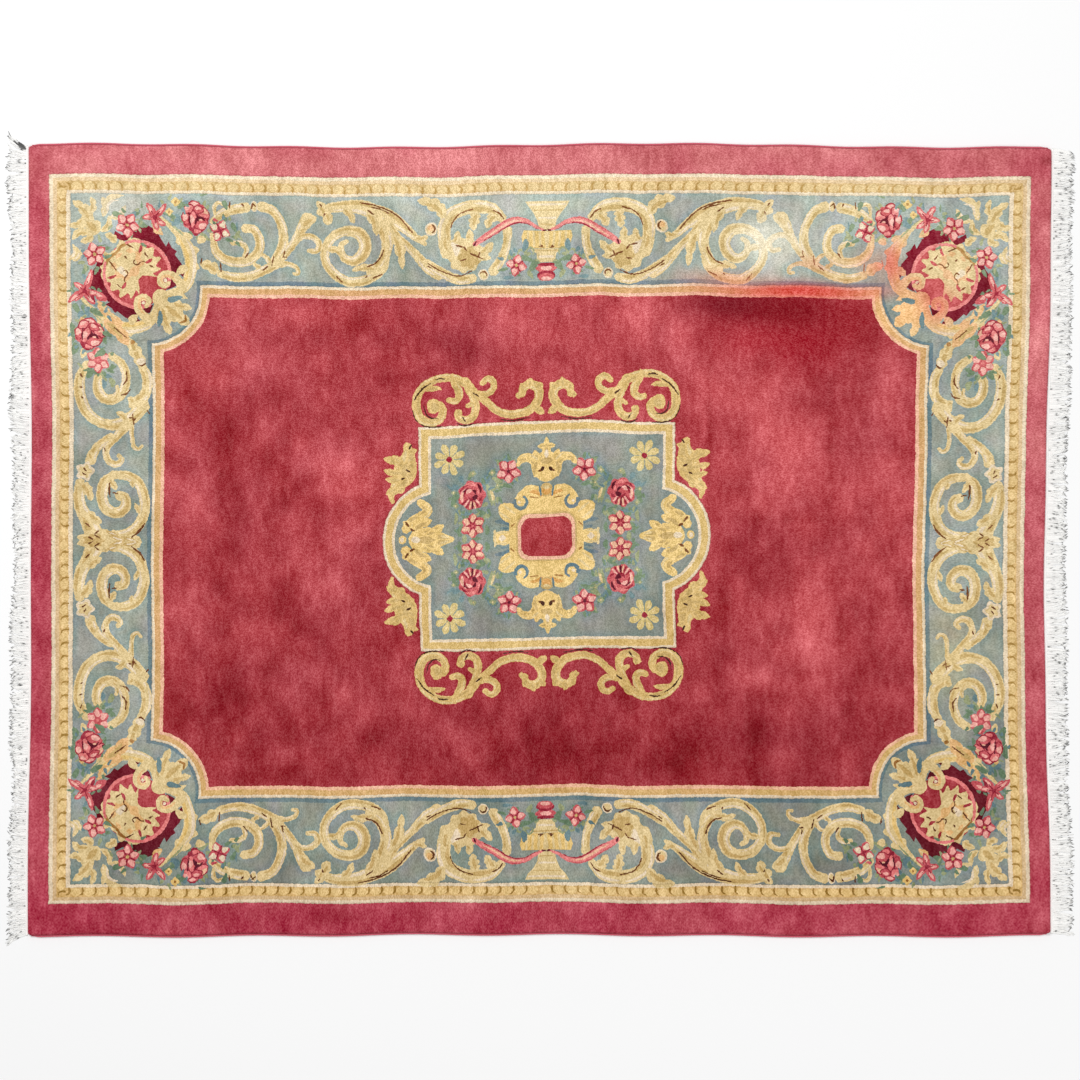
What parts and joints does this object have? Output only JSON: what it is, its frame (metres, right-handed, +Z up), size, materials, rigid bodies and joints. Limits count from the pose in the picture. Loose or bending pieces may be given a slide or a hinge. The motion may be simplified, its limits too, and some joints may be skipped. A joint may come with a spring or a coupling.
{
  "type": "aubusson rug",
  "caption": "Room-size hand-knotted wool pile rug, flat, with overcast long edges and a cotton fringe on both short ends.",
  "frame": {"origin": "on the floor, under the middle of the rug's reach, fringe included", "axes": "+X along the rug's length, +Y across it towards the picture's top edge, +Z up"},
  "size_m": [3.7484, 2.8184, 0.014],
  "materials": {
    "wool_pile": "soft clipped wool pile, crimson with blue-grey, gold and cream",
    "wool_selvedge": "overcast wool yarn, dark crimson",
    "cotton_fringe": "twisted cotton, off-white"
  },
  "bodies": {
    "root": {"rug_body": "wool_pile", "selvedge_back": "wool_selvedge", "selvedge_front": "wool_selvedge", "fringe_left": "cotton_fringe", "fringe_right": "cotton_fringe"}
  },
  "joints": []
}
